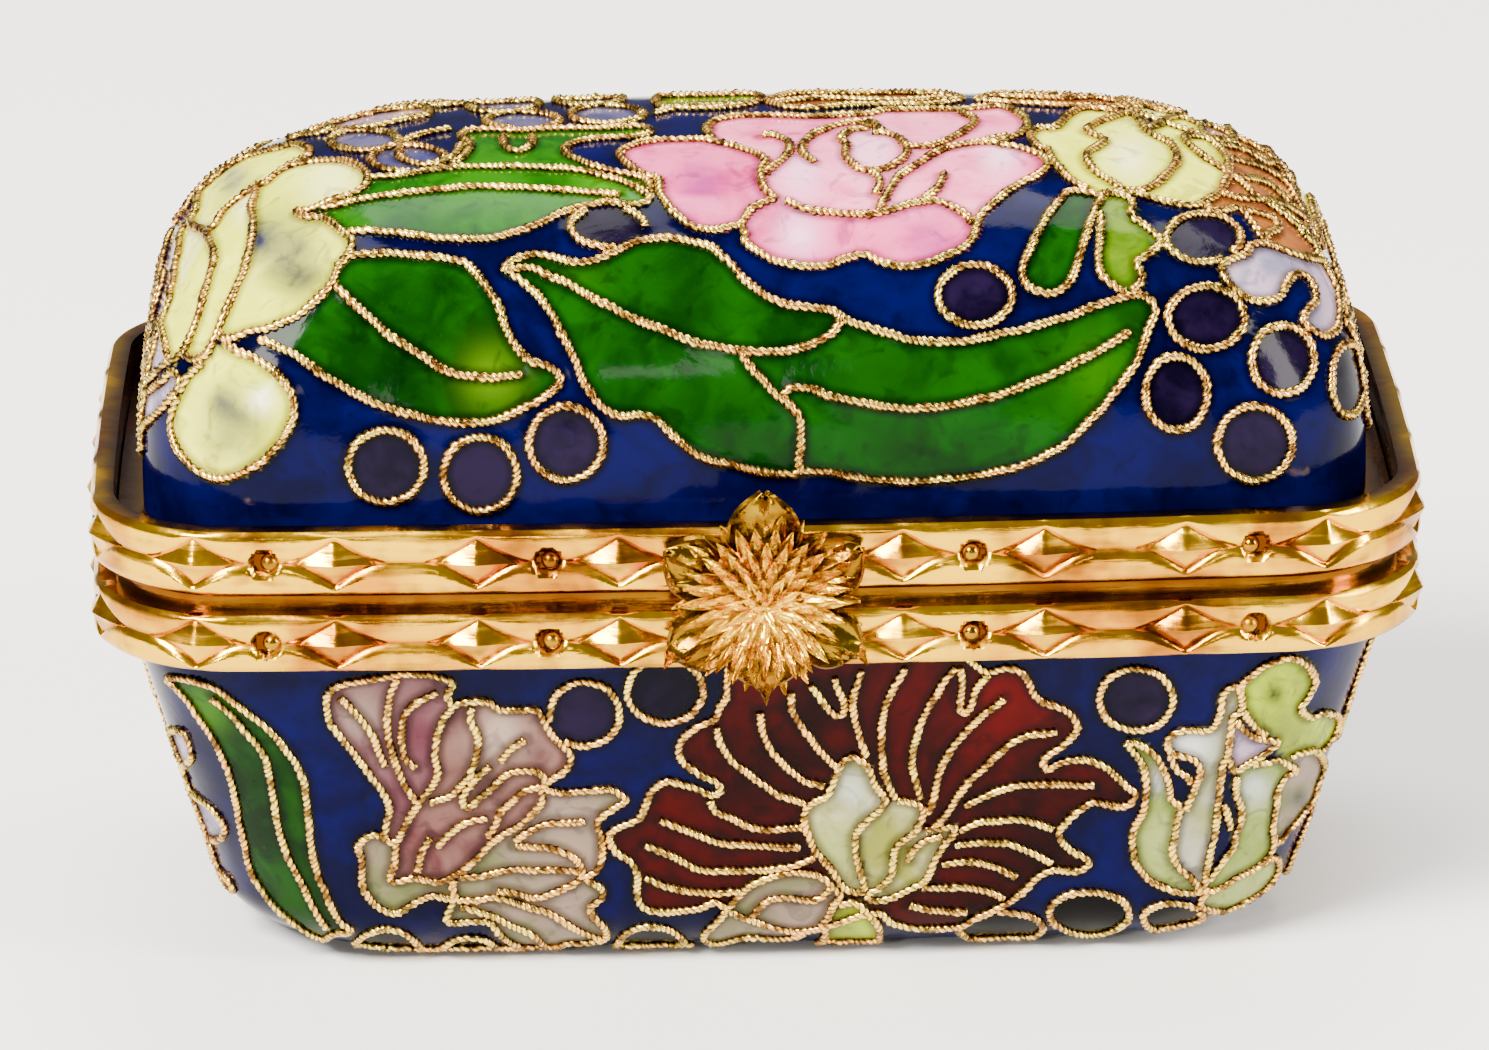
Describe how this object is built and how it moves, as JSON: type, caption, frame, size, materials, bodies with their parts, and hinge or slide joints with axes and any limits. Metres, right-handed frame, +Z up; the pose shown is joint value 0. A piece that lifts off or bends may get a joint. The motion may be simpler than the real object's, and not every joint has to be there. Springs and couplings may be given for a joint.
{
  "type": "cloisonne enamel box",
  "caption": "Small cloisonne enamel box with a domed hinged lid, brass bezels and a brass flower at the front.",
  "frame": {"origin": "centre of the flat underside, on the surface that the box stands on", "axes": "+X along the box's length, +Y towards the hinge at the back, +Z up"},
  "size_m": [0.061, 0.0387, 0.0368],
  "materials": {
    "bowl_enamel": "gloss",
    "dome_enamel": "gloss",
    "bezel_brass": "polished",
    "flower_brass": "polished",
    "hinge_brass": "satin"
  },
  "bodies": {
    "base": {"base_bowl": "bowl_enamel", "base_bezel": "bezel_brass", "hinge_knuckle_left": "hinge_brass", "hinge_knuckle_right": "hinge_brass", "hinge_pin": "hinge_brass"},
    "lid": {"lid_dome": "dome_enamel", "lid_bezel": "bezel_brass", "clasp_flower": "flower_brass", "hinge_knuckle_lid": "hinge_brass"}
  },
  "joints": [
    {"name": "lid_hinge", "type": "hinge", "parent": "base", "child": "lid", "pos_m": [0, 0.0181, 0.01985], "axis": [-1, 0, 0], "range_deg": [0, 100]}
  ]
}
